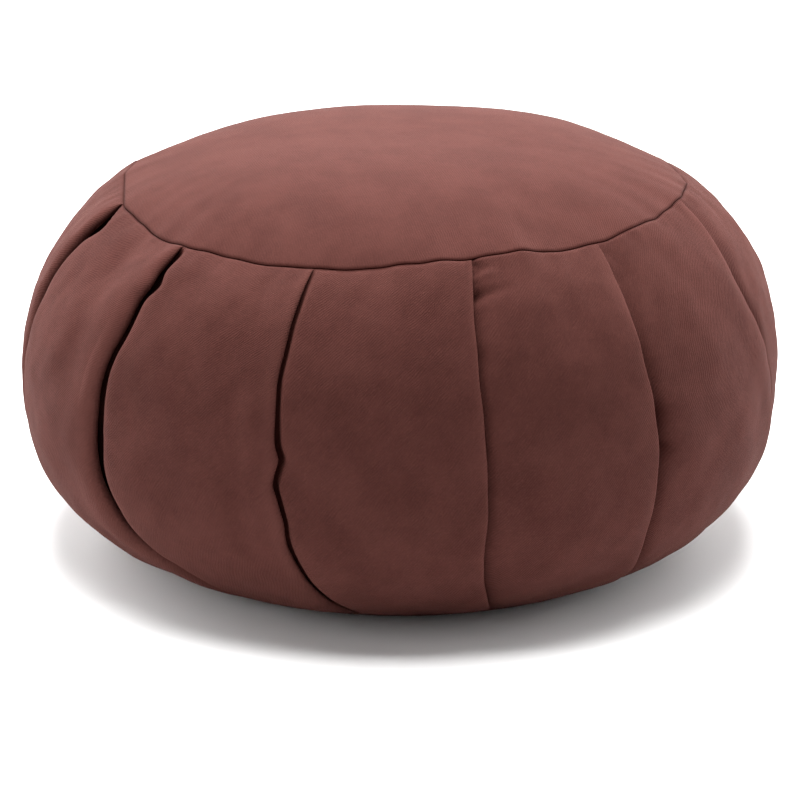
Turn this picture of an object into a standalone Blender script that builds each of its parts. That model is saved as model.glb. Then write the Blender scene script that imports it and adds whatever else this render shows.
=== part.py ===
"""Round pleated floor cushion (zafu), modelled at its real size.

A firm filled body carries a side strip laid in twelve knife pleats. A domed round panel closes it on
top, and a second one is pressed flat underneath, where the cushion stands. Units are metres, +Z is up,
the front is at -Y, and the origin is on the floor at the middle of the cushion's box.

Azimuths are in degrees, counted from the front towards +X. Every pleat folds over its neighbour on the
side of the growing azimuth.
"""

from collections import namedtuple

import bpy
import numpy as np

MM = 0.001

# Outline of the side: two superellipse quarters that meet at the widest height.
FORM_RADIUS = 177.0 * MM
WIDEST_HEIGHT = 82.0 * MM
TOP_SEAM_RADIUS = 134.3 * MM
TOP_SEAM_HEIGHT = 171.0 * MM
BOTTOM_SEAM_RADIUS = 132.0 * MM
BOTTOM_SEAM_HEIGHT = 4.5 * MM
UPPER_ROUNDNESS = 2.4
LOWER_ROUNDNESS = 2.6

# Round panels.
CROWN_RISE = 22.5 * MM
CROWN_FLATNESS = 3.3
CLOTH_THICKNESS = 2.0 * MM
PIECE_GAP = 0.35 * MM
RESTING_RADIUS = 117.0 * MM

# The top seam sits a little forward and right of the middle, the foot sits a little forward, and the
# right shoulder is higher than the left one.
SEAM_SHIFT_FORWARD = 3.0 * MM
SEAM_SHIFT_RIGHT = 1.3 * MM
FOOT_SHIFT_FORWARD = 4.0 * MM
SHOULDER_LEAN = 1.5 * MM

# Pleats: depth of the tuck behind a fold edge, thickness of the folded lip as a share of the lift, and
# how far the fold's upper and lower corners stand back from its edge, as a share of the tuck.
TUCK_DEPTH = 11.0 * MM
LIP_SHARE = 0.6
NOSE_SETBACK = 0.16

# One row a pleat. The first five columns are the azimuth of its fold edge at the top seam, on the
# shoulder, at the belly, low on the side and at the bottom seam. lift is how far the fold edge stands
# over the neighbouring panel and swell how far the panel bulges between its two folds, in millimetres.
# seam_mm is the height of the top seam at the fold against its mean, and the seam has one more corner at
# kink_share of the way from the fold before, kink_mm high.
Pleat = namedtuple("Pleat", "top shoulder belly low foot lift swell seam_mm kink_share kink_mm")
PLEATS = (
    Pleat(-77.6, -78.6, -81.5, -83.5, -84.0, 6.5, 1.0, -1.3, 0.35, 1.9),
    Pleat(-47.4, -47.8, -51.0, -46.2, -29.8, 6.5, 3.0, -4.1, 0.73, -4.6),
    Pleat(-17.0, -17.9, -17.8, -15.4, -9.1, 5.5, 3.5, -4.3, 0.69, -5.0),
    Pleat(12.7, 11.1, 12.0, 12.4, 17.3, 4.5, 3.0, 0.2, 0.58, -0.8),
    Pleat(39.8, 37.8, 39.2, 39.6, 44.5, 5.0, 3.0, -0.9, 0.40, 2.2),
    Pleat(71.6, 67.0, 72.8, 77.0, 79.0, 5.5, 2.5, 2.1, 0.36, 1.6),
    Pleat(108.0, 108.0, 111.0, 112.0, 110.0, 5.0, 2.0, -1.0, 0.44, 0.0),
    Pleat(136.0, 134.5, 133.5, 135.0, 139.0, 6.0, 3.5, 1.4, 0.39, -1.6),
    Pleat(160.5, 159.5, 160.5, 161.0, 158.0, 5.0, 3.0, -1.8, 0.48, 1.8),
    Pleat(192.0, 189.0, 190.0, 193.0, 196.0, 5.5, 2.5, 0.8, 0.46, -2.2),
    Pleat(222.0, 221.0, 218.5, 220.0, 226.0, 5.0, 3.5, -1.2, 0.30, 0.6),
    Pleat(253.5, 250.0, 249.5, 251.0, 252.0, 6.0, 3.0, 1.6, 0.66, -1.4),
)
FOLD_HEIGHT_SHARES = (0.0, 0.2, 0.5, 0.75, 1.0)

# How finely the shapes are divided.
SIDE_ROWS = 16
PANEL_STEPS = 8
CROWN_RINGS = (1.0, 0.92, 0.78, 0.55)
FOOT_RINGS = (1.0, 0.95, RESTING_RADIUS / BOTTOM_SEAM_RADIUS, 0.5)
MERGE_DISTANCE = 1e-6

# Linear colour, roughness.
TOP_CLOTH = ((0.230, 0.090, 0.078), 0.92)
SIDE_CLOTH = ((0.185, 0.072, 0.064), 0.92)
BOTTOM_CLOTH = ((0.175, 0.068, 0.060), 0.92)


def clear_scene():
    for obj in list(bpy.data.objects):
        bpy.data.objects.remove(obj)


def cloth_material(name, finish):
    colour, roughness = finish
    material = bpy.data.materials.new(name)
    material.use_nodes = True
    shader = material.node_tree.nodes["Principled BSDF"]
    shader.inputs["Base Color"].default_value = (*colour, 1.0)
    shader.inputs["Roughness"].default_value = roughness
    shader.inputs["Metallic"].default_value = 0.0
    return material


def side_outline(share):
    """Radius and height of the side at a share of the way down it, by length, and its outward normal.

    Each half obeys (r / radius) ** n + (h / half height) ** n = 1, with h counted from the widest height
    and the half height chosen so that the curve passes through the seam.
    """
    halves = []
    for seam_radius, seam_height, power in (
        (TOP_SEAM_RADIUS, TOP_SEAM_HEIGHT, UPPER_ROUNDNESS),
        (BOTTOM_SEAM_RADIUS, BOTTOM_SEAM_HEIGHT, LOWER_ROUNDNESS),
    ):
        reach = abs(seam_height - WIDEST_HEIGHT)
        half_height = reach / (1 - (seam_radius / FORM_RADIUS) ** power) ** (1 / power)
        fall = np.linspace(reach, 0, 400)
        radius = FORM_RADIUS * (1 - (fall / half_height) ** power) ** (1 / power)
        halves.append((radius, WIDEST_HEIGHT + np.sign(seam_height - WIDEST_HEIGHT) * fall))
    radius = np.concatenate([halves[0][0], halves[1][0][-2::-1]])
    height = np.concatenate([halves[0][1], halves[1][1][-2::-1]])
    length = np.concatenate([[0], np.cumsum(np.hypot(np.diff(radius), np.diff(height)))])
    at = share * length[-1]
    slope_r = np.interp(at, length, np.gradient(radius, length))
    slope_z = np.interp(at, length, np.gradient(height, length))
    size = np.hypot(slope_r, slope_z)
    return np.interp(at, length, radius), np.interp(at, length, height), -slope_z / size, slope_r / size


def smooth_through(x, knots, values):
    """A curve through a few knots: each stretch is a cubic with the slopes of its neighbours' chords."""
    knots = np.asarray(knots)
    slopes = np.gradient(values, knots, axis=-1)
    i = np.clip(np.searchsorted(knots, x, side="right") - 1, 0, len(knots) - 2)
    width = knots[i + 1] - knots[i]
    t = (x - knots[i]) / width
    return (
        values[..., i] * (1 + 2 * t) * (1 - t) ** 2
        + slopes[..., i] * width * t * (1 - t) ** 2
        + values[..., i + 1] * t**2 * (3 - 2 * t)
        - slopes[..., i + 1] * width * t**2 * (1 - t)
    )


def fold_azimuths(share):
    """Azimuth in radians of every fold, a row for each share of the way down the side."""
    corners = np.array([row[:5] for row in PLEATS])
    return np.radians(smooth_through(share, FOLD_HEIGHT_SHARES, corners).T)


def seam_rise(azimuth):
    """Height of the uneven top seam over its mean: straight runs between its corners."""
    folds = np.array([row.top for row in PLEATS])
    before = np.roll(folds, 1) - np.array([360.0] + [0.0] * (len(PLEATS) - 1))
    kinks = before + np.array([row.kink_share for row in PLEATS]) * (folds - before)
    corners = np.stack([kinks, folds], 1).ravel()
    heights = np.array([(row.kink_mm, row.seam_mm) for row in PLEATS]).ravel() * MM
    return np.interp(np.degrees(azimuth), corners, heights, period=360.0)


def settle(points):
    """Moves the form's points to the real cushion: its top and foot forward, and one shoulder higher."""
    points = points.copy()
    level = np.clip(points[..., 2] / TOP_SEAM_HEIGHT, 0, None)
    below = np.clip(1 - points[..., 2] / WIDEST_HEIGHT, 0, 1)
    points[..., 0] += SEAM_SHIFT_RIGHT * level**2
    points[..., 1] -= SEAM_SHIFT_FORWARD * level**2 + FOOT_SHIFT_FORWARD * below * (2 - below)
    points[..., 2] += SHOULDER_LEAN * level * points[..., 0] / TOP_SEAM_RADIUS
    return points


def round_points(radius, azimuth, height):
    return np.stack(np.broadcast_arrays(radius * np.sin(azimuth), -radius * np.cos(azimuth), height), -1)


def side_strip():
    """Rows of points down the pleated side, from the top seam to the bottom one.

    Across a pleat the section starts deep under the fold before it, comes out below that fold, rises and
    swells towards its own fold edge, turns round the edge and runs back under itself. The tuck and the
    lift go to nothing at both seams, where the layers are sewn together.
    """
    share = (1 - np.cos(np.pi * np.linspace(0, 1, SIDE_ROWS))) / 2
    radius, height, out_r, out_z = side_outline(share)
    folds = fold_azimuths(share)
    open_share = np.sqrt(np.clip(np.sin(np.pi * share), 0, None))
    tuck = TUCK_DEPTH * open_share / radius
    across = np.linspace(0, 1, PANEL_STEPS + 1)[:-1]
    columns = []
    for number, row in enumerate(PLEATS):
        end = folds[:, number]
        start = folds[:, number - 1] - (2 * np.pi if number == 0 else 0)
        low = -0.5 * PLEATS[number - 1].lift * MM * open_share
        high = 0.5 * row.lift * MM * open_share
        lip = 2 * high * LIP_SHARE
        columns.append((start - tuck, low))
        for part in across:
            swell = 4 * part * (1 - part) * row.swell * MM * open_share
            columns.append((start + part * (end - start), low + part * (high - low) + swell))
        columns.append((end - NOSE_SETBACK * tuck, high))
        columns.append((end, high - 0.5 * lip))
        columns.append((end - NOSE_SETBACK * tuck, high - lip))
        columns.append((end - tuck, high - lip))
    azimuth = np.stack([column[0] for column in columns], 1)
    offset = np.stack([column[1] for column in columns], 1)
    top_fade = np.clip(1 - share / 0.3, 0, 1)[:, None] ** 2
    return settle(
        round_points(
            radius[:, None] + out_r[:, None] * offset,
            azimuth,
            height[:, None] + out_z[:, None] * offset + top_fade * seam_rise(azimuth),
        )
    )


def seam_azimuths(share):
    """Azimuths of the points along a seam: each fold and the steps between it and the next."""
    folds = fold_azimuths(np.array([share]))[0]
    start = np.roll(folds, 1) - np.array([2 * np.pi] + [0.0] * (len(PLEATS) - 1))
    across = np.linspace(0, 1, PANEL_STEPS + 1)[:-1]
    return (start[:, None] + across[None] * (folds - start)[:, None]).ravel()


def crown_height(ring):
    """Height of the domed top panel at a share of its radius: a dome, flat in the middle."""
    return TOP_SEAM_HEIGHT + CROWN_RISE * (1 - ring**CROWN_FLATNESS)


def crown_rings(rim_gap, sink):
    """Rings of the top dome, with its rim drawn in by rim_gap and the whole dome sunk along its normal."""
    azimuth = seam_azimuths(0.0)
    ring = np.array(CROWN_RINGS)
    slope = -CROWN_RISE * CROWN_FLATNESS * ring ** (CROWN_FLATNESS - 1) / TOP_SEAM_RADIUS
    tilt = np.hypot(1, slope)
    radius = ring * TOP_SEAM_RADIUS + sink * slope / tilt
    radius[0] -= rim_gap / tilt[0]
    height = crown_height(ring) - sink / tilt
    height[0] -= rim_gap * slope[0] / tilt[0]
    rise = (ring**4)[:, None] * seam_rise(azimuth)[None]
    points = settle(round_points(radius[:, None], azimuth[None], height[:, None] + rise))
    middle = settle(np.array([0.0, 0.0, crown_height(0.0) - sink]))
    return points, middle


def foot_rings(rim_gap, sink):
    """Rings of the bottom panel, flat inside the resting radius and curving up to the bottom seam."""
    azimuth = seam_azimuths(1.0)
    ring = np.array(FOOT_RINGS)
    reach = BOTTOM_SEAM_RADIUS - RESTING_RADIUS
    curl = np.clip((ring * BOTTOM_SEAM_RADIUS - RESTING_RADIUS) / reach, 0, 1)
    slope = 2 * curl * BOTTOM_SEAM_HEIGHT / reach
    tilt = np.hypot(1, slope)
    radius = ring * BOTTOM_SEAM_RADIUS - sink * slope / tilt
    radius[0] -= rim_gap / tilt[0]
    height = BOTTOM_SEAM_HEIGHT * curl**2 + sink / tilt
    height[0] -= rim_gap * slope[0] / tilt[0]
    points = settle(round_points(radius[:, None], azimuth[None], height[:, None]))
    return points, settle(np.array([0.0, 0.0, sink]))


def ring_faces(first, rows, columns, flip=False):
    """Quads between neighbouring rows of a closed ring of columns, numbered from first."""
    row, column = np.meshgrid(np.arange(rows - 1), np.arange(columns), indexing="ij")
    after = (column + 1) % columns
    corners = [row * columns + column, (row + 1) * columns + column, (row + 1) * columns + after, row * columns + after]
    quads = first + np.stack(corners, -1).reshape(-1, 4)
    return (quads[:, ::-1] if flip else quads).tolist()


def fan_faces(ring_start, columns, middle, flip=False):
    """Triangles from a ring to the point in its middle."""
    column = np.arange(columns)
    fan = np.stack([ring_start + column, np.full(columns, middle), ring_start + (column + 1) % columns], -1)
    return (fan[:, ::-1] if flip else fan).tolist()


def dome_faces(first, rings, columns, flip=False):
    middle = first + rings * columns
    faces = ring_faces(first, rings, columns, flip)
    return faces + fan_faces(middle - columns, columns, middle, flip)


def cloth_object(name, points, faces, finish, collection):
    mesh = bpy.data.meshes.new(name)
    mesh.from_pydata(points.tolist(), [], faces)
    mesh.materials.append(cloth_material(name, finish))
    mesh.shade_smooth()
    mesh.set_sharp_from_angle(angle=np.radians(50))
    obj = bpy.data.objects.new(name, mesh)
    collection.objects.link(obj)
    return obj


def round_panel(name, rings, finish, collection, upwards):
    """A round sheet of cloth: its outer face as an open dome, given its thickness inwards."""
    points, middle = rings
    count, columns = points.shape[:2]
    vertices = np.concatenate([points.reshape(-1, 3), middle[None]])
    panel = cloth_object(name, vertices, dome_faces(0, count, columns, upwards), finish, collection)
    wall = panel.modifiers.new("Cloth thickness", "SOLIDIFY")
    wall.thickness = CLOTH_THICKNESS
    wall.offset = -1.0
    wall.use_even_offset = True
    return panel


def merge_twins(points, faces):
    """Makes points that coincide one point, and drops the sides and faces that this closes up."""
    cell = np.round(points / MERGE_DISTANCE).astype(np.int64)
    _, first, index = np.unique(cell, axis=0, return_index=True, return_inverse=True)
    index = index.reshape(-1)
    merged = []
    for face in faces:
        corners = list(dict.fromkeys(index[face].tolist()))
        if len(corners) > 2:
            merged.append(corners)
    return points[first], merged


def filled_body(strip, top_seat, bottom_seat, finish, collection):
    """The filled solid: the pleated side, and under each round panel a seat that it lies on."""
    rows, columns = strip.shape[:2]
    seam_columns = len(PLEATS) * PANEL_STEPS
    per_pleat = columns // len(PLEATS)
    on_seam = (np.arange(len(PLEATS))[:, None] * per_pleat + 1 + np.arange(PANEL_STEPS)[None]).ravel()
    blocks = [strip.reshape(-1, 3)]
    faces = ring_faces(0, rows, columns)
    for seat, seam_row, flip in ((top_seat, 0, True), (bottom_seat, rows - 1, False)):
        points, middle = seat
        seam = strip[seam_row, on_seam]
        first = sum(len(block) for block in blocks)
        rings = np.concatenate([seam[None], points])
        blocks += [rings.reshape(-1, 3), middle[None]]
        faces += dome_faces(first, len(rings), seam_columns, flip)
    vertices, faces = merge_twins(np.concatenate(blocks), faces)
    return cloth_object("pleated_body", vertices, faces, finish, collection)


def stand_at_origin(objects):
    """Slides all pieces together so that the middle of their box is over the origin."""
    corners = np.concatenate([np.array([vertex.co for vertex in obj.data.vertices]) for obj in objects])
    middle = (corners.min(axis=0) + corners.max(axis=0)) / 2
    for obj in objects:
        for vertex in obj.data.vertices:
            vertex.co.x -= middle[0]
            vertex.co.y -= middle[1]


def main():
    clear_scene()
    collection = bpy.data.collections.new("Zafu meditation cushion")
    bpy.context.scene.collection.children.link(collection)
    seat_depth = CLOTH_THICKNESS + PIECE_GAP
    top = round_panel("top_panel", crown_rings(PIECE_GAP, 0.0), TOP_CLOTH, collection, True)
    bottom = round_panel("bottom_panel", foot_rings(PIECE_GAP, 0.0), BOTTOM_CLOTH, collection, False)
    body = filled_body(
        side_strip(), crown_rings(0.0, seat_depth), foot_rings(0.0, seat_depth), SIDE_CLOTH, collection
    )
    stand_at_origin([top, body, bottom])


main()
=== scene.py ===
"""Zafu meditation cushion, dressed: a pleated side in real folded cloth, a domed round panel and a flat one.

Metres, +Z up, front at -Y. Azimuths are in degrees from the front towards +X, and a drop is a share of
the way down the side's length, from the top seam (0) to the bottom seam (1). Every pleat folds over its
neighbour on the side of the growing azimuth.
"""

from collections import namedtuple

import bmesh
import bpy
import numpy as np
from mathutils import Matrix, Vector


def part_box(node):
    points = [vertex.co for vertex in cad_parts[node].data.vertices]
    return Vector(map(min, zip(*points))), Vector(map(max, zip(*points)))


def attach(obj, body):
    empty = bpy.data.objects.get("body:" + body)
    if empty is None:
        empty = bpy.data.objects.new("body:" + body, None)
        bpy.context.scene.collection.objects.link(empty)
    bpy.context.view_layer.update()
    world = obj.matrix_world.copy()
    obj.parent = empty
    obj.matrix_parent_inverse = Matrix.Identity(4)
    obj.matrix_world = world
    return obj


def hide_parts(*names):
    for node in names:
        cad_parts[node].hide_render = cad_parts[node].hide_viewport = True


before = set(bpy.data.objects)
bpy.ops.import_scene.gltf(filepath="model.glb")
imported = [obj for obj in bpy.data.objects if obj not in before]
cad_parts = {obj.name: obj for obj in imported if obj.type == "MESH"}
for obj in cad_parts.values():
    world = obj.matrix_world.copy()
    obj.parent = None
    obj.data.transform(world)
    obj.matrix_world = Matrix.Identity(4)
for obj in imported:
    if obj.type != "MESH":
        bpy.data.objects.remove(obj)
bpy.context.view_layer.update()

MM = 0.001

# Outline of the side: two superellipse quarters that meet at the widest height.
FORM_RADIUS = 179.0 * MM
WIDEST_HEIGHT = 82.0 * MM
TOP_SEAM_RADIUS = 134.3 * MM
TOP_SEAM_HEIGHT = 171.0 * MM
BOTTOM_SEAM_RADIUS = 132.0 * MM
BOTTOM_SEAM_HEIGHT = 4.5 * MM
UPPER_ROUNDNESS = 2.4
LOWER_ROUNDNESS = 2.5
OUTLINE_STEPS = 600

# Round panels. The side never comes lower than LOWEST_SIDE.
CROWN_RISE = 23.0 * MM
CROWN_FLATNESS = 3.2
CLOTH_THICKNESS = 2.0 * MM
PIECE_GAP = 0.35 * MM
RESTING_RADIUS = 117.0 * MM
LOWEST_SIDE = 0.6 * MM

# The top seam sits a little forward and right of the middle, the right shoulder is higher in front, and
# the foot sits forward and a little to the right.
SEAM_SHIFT_FORWARD = 3.0 * MM
SEAM_SHIFT_RIGHT = 1.3 * MM
FOOT_SHIFT_RIGHT = 0.4 * MM
FOOT_SHIFT_FORWARD = 4.0 * MM
SHOULDER_LEAN = 1.5 * MM
BACK_LEAN = 2.1 * MM

# Seams. The side's cloth and the bottom panel turn into a groove, and the top panel's rim turns down over
# RIM_TURN and stops RIM_GAP inside the seam. SEAM_LINE is the width of the painted shade in the seam. In
# front, at an azimuth in degrees, the top seam opens by SEAM_OPENS of its usual width. Over SEAM_BLEND of
# the drop the side takes up the seam's corners, and the round panel takes them up as its share of the
# radius to the power SEAM_PULL.
GROOVE_DEPTH = 1.1 * MM
GROOVE_WIDTH = 0.9 * MM
GROOVE_POWER = 1.4
RIM_DEPTH = 0.5 * MM
RIM_TURN = 0.5 * MM
RIM_GAP = 0.55 * MM
RIM_POWER = 1.6
SEAM_LINE = 0.6 * MM
SEAM_OPENS = 1.6
SEAM_OPENS_AT = -8.0
SEAM_OPENS_SPREAD = 11.0
SEAM_BLEND = 0.30
SEAM_PULL = 6

# Pleats. The layers of a fold part within PARTING_LENGTH of a seam, and the fold opens fully over
# OPENING_LENGTH above the bottom seam. Next to a seam the lip and the roll keep a share of their size.
TUCK_DEPTH = 16.0 * MM
PARTING_LENGTH = 2.0 * MM
PARTING_POWER = 1.5
OPENING_LENGTH = 12.0 * MM
OPENING_POWER = 1.3
LIP_AT_SEAM = 0.15
ROLL_AT_SEAM = 0.30
FOLD_RAMP = 20.0 * MM
CREST_LENGTH = 14.0 * MM
VALLEY_WIDTH = 11.0 * MM
SMALLEST_GAP = 0.35 * MM
SWELL_SQUARENESS = 3.2
SWELL_ENDS = 0.8
SWELL_AT_BELLY = 0.45
BELLY_POWER = 1.2
BANK_STEEPNESS = 2.2
BANK_SHARE_OF_GAPE = 0.7

# Marks painted into the cloth's colour. Painted shade in a tuck is full at DARK_DEPTH and reaches out over
# MOUTH_SHADE and a share of the gape, and the painted highlight along a fold edge is wider than its roll by
# the last of these.
DARK_DEPTH = 4.0 * MM
BANK_DARKENING = 1.5
NOSE_DARKENING = 1.7
MOUTH_SHADE = 0.5 * MM
SHADE_SHARE_OF_GAPE = 0.4
# How far the painted highlight along a fold edge reaches past its roll.
HIGHLIGHT_STRIP = 0.8 * MM

# One row a fold. The first five columns are its azimuth at the top seam, on the shoulder, at the belly,
# low on the side and at the bottom seam. The others are in millimetres: how far the fold edge stands over
# the form, how thick the folded lip is and how far its rolled edge reaches back, how far it gapes over
# the neighbour, how fast the neighbour's bank rises out of it and how high that bank's crest stands, how
# far the panel before the fold swells, a valley in that panel with its distance from the edge, and how
# far below the top seam the fold comes to its full form.
Fold = namedtuple(
    "Fold", "top shoulder belly low foot lift lip roll gape bank crest swell valley valley_at opens"
)
FOLDS = (
    Fold(-77.6, -78.4, -80.4, -82.5, -83.0, 2.2, 6.2, 4.6, 4.2, 2.4, 1.6, 1.6, 0.4, 22.0, 7.0),
    Fold(-47.4, -47.8, -51.0, -46.2, -29.8, 1.6, 7.4, 7.4, 1.4, 3.0, 1.2, 3.6, 0.9, 24.0, 8.0),
    Fold(-17.0, -17.9, -17.8, -15.4, -9.1, 1.8, 4.6, 4.6, 0.7, 1.4, 1.0, 3.0, 1.0, 19.0, 16.0),
    Fold(12.7, 11.1, 12.0, 12.4, 17.3, 1.2, 2.0, 1.3, 0.4, 3.0, 0.0, 2.8, 0.3, 24.0, 9.0),
    Fold(39.8, 37.8, 39.2, 39.6, 44.5, 1.6, 2.6, 1.5, 1.4, 3.2, 0.0, 3.0, 0.5, 20.0, 50.0),
    Fold(71.6, 67.0, 72.8, 77.0, 79.0, 1.5, 2.8, 1.6, 1.8, 3.2, 0.0, 2.6, 0.4, 20.0, 46.0),
    Fold(108.0, 108.0, 111.0, 112.0, 110.0, 1.2, 3.4, 2.4, 1.0, 6.0, 0.4, 0.6, 0.8, 22.0, 12.0),
    Fold(136.0, 134.5, 133.5, 135.0, 139.0, 1.6, 6.0, 5.0, 0.8, 2.6, 1.4, 3.2, 1.0, 20.0, 9.0),
    Fold(160.5, 159.5, 160.5, 161.0, 158.0, 1.4, 2.6, 1.6, 0.9, 8.0, 0.0, 2.8, 0.5, 24.0, 12.0),
    Fold(192.0, 189.0, 190.0, 193.0, 196.0, 1.6, 4.6, 3.4, 0.8, 2.4, 1.0, 2.6, 1.0, 21.0, 8.0),
    Fold(222.0, 221.0, 218.5, 220.0, 226.0, 1.4, 2.8, 1.8, 1.0, 7.0, 0.2, 3.2, 0.6, 23.0, 16.0),
    Fold(253.5, 250.0, 249.5, 251.0, 252.0, 1.6, 6.2, 5.4, 0.8, 2.6, 1.4, 2.8, 1.0, 20.0, 9.0),
)
# The drops of the table's five azimuths, and the waver of a fold edge, one sine for each number of turns.
FOLD_DROPS = (0.0, 0.2, 0.5, 0.75, 1.0)
FOLD_WAVER = 0.8 * MM
WAVER_TURNS = (3, 5, 8)
RANDOM_SEED = 36

# Unevenness: a usual height, the number of waves, their shortest and longest length, with all lengths in
# millimetres, and what is added to RANDOM_SEED. Gathers are short waves that die away from a seam. They
# run nearly straight off it, because the distance from it counts only GATHER_SLANT.
Waves = namedtuple("Waves", "height count shortest longest seed")
SIDE_HILLS = Waves(0.40, 16, 34, 110, 1)
SIDE_RIPPLES = Waves(0.11, 18, 11, 26, 2)
SIDE_GATHERS = Waves(0.20, 10, 6, 15, 3)
TOP_HILLS = Waves(0.35, 14, 70, 150, 5)
TOP_RIPPLES = Waves(0.03, 18, 14, 34, 6)
TOP_GATHERS = Waves(0.08, 10, 7, 16, 7)
SEAM_WAVER = Waves(0.22, 9, 8, 24, 9)
GATHER_LENGTH = 6.0 * MM
GATHER_START = 1.5 * MM
GATHER_SLANT = 0.15
TOP_HILLS_START = 14.0 * MM

# Places where a crisp fold is rounder: the extra thickness and roll of its lip, in millimetres. The bank
# beside it is longer by the same roll.
SoftSpot = namedtuple("SoftSpot", "fold drop lip roll spread")
SOFT_SPOTS = (
    SoftSpot(4, 0.07, 0.0, 6.0, 0.12),
    SoftSpot(5, 0.08, 0.0, 7.0, 0.14),
    SoftSpot(2, 0.92, 1.0, 2.0, 0.08),
    SoftSpot(1, 0.62, 1.6, 2.6, 0.22),
    SoftSpot(8, 0.08, 0.6, 5.0, 0.09),
    SoftSpot(10, 0.07, 0.6, 5.0, 0.09),
)

# Places where a fold gapes wider than the rest of it: how much, and over what share of the drop.
Mouth = namedtuple("Mouth", "fold drop extra spread")
MOUTHS = (
    Mouth(0, 0.075, 4.0, 0.036),
    Mouth(0, 0.26, 1.6, 0.120),
    Mouth(1, 0.125, 1.6, 0.030),
    Mouth(1, 0.60, 0.8, 0.120),
    Mouth(1, 0.86, 1.8, 0.090),
    Mouth(2, 0.47, 1.3, 0.070),
    Mouth(3, 0.035, 0.9, 0.018),
    Mouth(3, 0.095, 1.2, 0.018),
    Mouth(3, 0.24, 0.7, 0.020),
    Mouth(4, 0.43, 3.4, 0.045),
    Mouth(4, 0.51, 2.6, 0.025),
    Mouth(5, 0.34, 2.4, 0.090),
    Mouth(7, 0.14, 2.4, 0.050),
    Mouth(8, 0.55, 1.0, 0.050),
    Mouth(9, 0.30, 1.6, 0.080),
    Mouth(11, 0.10, 2.6, 0.050),
)

# Sideways kinks in a fold edge, in millimetres along the strip.
Kink = namedtuple("Kink", "fold drop shift spread")
KINKS = (
    Kink(1, 0.13, 1.6, 0.030),
    Kink(1, 0.43, 2.0, 0.060),
    Kink(1, 0.59, -2.4, 0.060),
    Kink(1, 0.80, 2.6, 0.050),
    Kink(2, 0.47, 1.6, 0.020),
    Kink(2, 0.53, -1.4, 0.025),
    Kink(2, 0.62, 0.9, 0.030),
    Kink(4, 0.51, 1.0, 0.040),
    Kink(7, 0.30, 1.5, 0.040),
    Kink(9, 0.58, -1.6, 0.040),
    Kink(11, 0.45, 1.4, 0.040),
)

# Soft troughs (depth over 0) and ridges (under 0) in a panel, each along a straight line. Across is in
# millimetres from the fold at the panel's left, or from its right fold edge when it is negative. Towards
# its second end a trough loses CREASE_FADE of its depth.
Crease = namedtuple("Crease", "panel across drop to_across to_drop width depth")
CREASES = (
    Crease(4, 0.5, 0.012, 5.0, 0.030, 4.0, 1.7),
    Crease(4, 1.0, 0.052, 9.0, 0.050, 4.0, -0.9),
    Crease(4, 1.0, 0.098, 15.0, 0.090, 5.0, 1.7),
    Crease(4, 2.0, 0.130, 12.0, 0.125, 6.0, -0.5),
    Crease(1, -31.0, 0.08, -20.0, 0.38, 20.0, 1.9),
    Crease(2, -20.0, 0.06, -10.0, 0.22, 7.0, 0.5),
    Crease(2, -20.0, 0.68, -19.0, 0.34, 10.0, 1.6),
    Crease(3, 9.0, 0.030, 16.0, 0.14, 5.0, 0.4),
    Crease(5, 4.0, 0.04, 12.0, 0.13, 5.0, 0.5),
    Crease(7, 2.0, 0.05, 15.0, 0.09, 5.0, 1.1),
    Crease(8, -22.0, 0.10, -12.0, 0.34, 8.0, 0.8),
    Crease(10, 3.0, 0.04, 16.0, 0.10, 5.0, 1.0),
    Crease(11, 6.0, 0.08, 20.0, 0.30, 7.0, 0.6),
)
CREASE_FADE = 0.55

# Corners of the uneven top seam: azimuth, and height over its mean in millimetres.
SeamCorner = namedtuple("SeamCorner", "azimuth rise")
SEAM_CORNERS = (
    SeamCorner(-96.4, 1.9),
    SeamCorner(-75.9, -1.4),
    SeamCorner(-55.6, -4.6),
    SeamCorner(-45.9, -4.1),
    SeamCorner(-26.3, -5.0),
    SeamCorner(-15.8, -4.2),
    SeamCorner(-8.5, -3.8),
    SeamCorner(-2.0, -1.4),
    SeamCorner(5.9, 0.6),
    SeamCorner(13.4, 0.2),
    SeamCorner(18.1, 1.8),
    SeamCorner(23.4, 2.2),
    SeamCorner(30.5, -1.0),
    SeamCorner(42.2, -0.9),
    SeamCorner(51.1, 1.6),
    SeamCorner(58.5, 0.8),
    SeamCorner(73.5, 2.2),
    SeamCorner(87.5, 0.0),
    SeamCorner(108.0, -1.0),
    SeamCorner(119.0, -1.6),
    SeamCorner(136.0, 1.4),
    SeamCorner(147.7, 1.8),
    SeamCorner(160.5, -1.8),
    SeamCorner(175.0, -2.2),
    SeamCorner(192.0, 0.8),
    SeamCorner(201.0, 0.6),
    SeamCorner(222.0, -1.2),
    SeamCorner(242.8, -1.4),
    SeamCorner(253.5, 1.6),
)
CORNER_SOFTNESS = 1.0
CORNER_PLACES = 5
CHORD_SHARE = 0.95

# How finely the cloth is divided: distances from the fold behind and from the rolled edge in front in
# millimetres, and the number of steps elsewhere. EVEN_ROWS of the rows' spacing is even and the rest is
# closer towards the seams. RING_CROWDING draws a panel's rings to its rim. PANEL_STEP parts the pleats'
# cloth on the roll, so that the weave doesn't repeat.
AFTER_FOLD = (0.0, 0.35, 0.75, 1.2, 1.75, 2.4, 3.2, 4.3, 5.8, 7.8, 10.5)
BEFORE_EDGE = (10.0, 7.2, 5.0, 3.3, 2.0, 1.0, 0.4)
MIDDLE_STEPS = 22
SIDE_ROWS = 124
EVEN_ROWS = 0.25
HIDDEN_STEPS = 4
NOSE_STEPS = 9
UNDER_STEPS = 3
TURN_STEPS = 3
ROUND_COLUMNS = 600
ROUND_RINGS = 54
RING_CROWDING = 1.8
CURL_RINGS = 14
INNERMOST_RING = 8.0 * MM
SEAT_RINGS = (0.92, 0.78, 0.55)
TWIN_DISTANCE = 0.001 * MM
PANEL_STEP = 0.151

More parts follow.
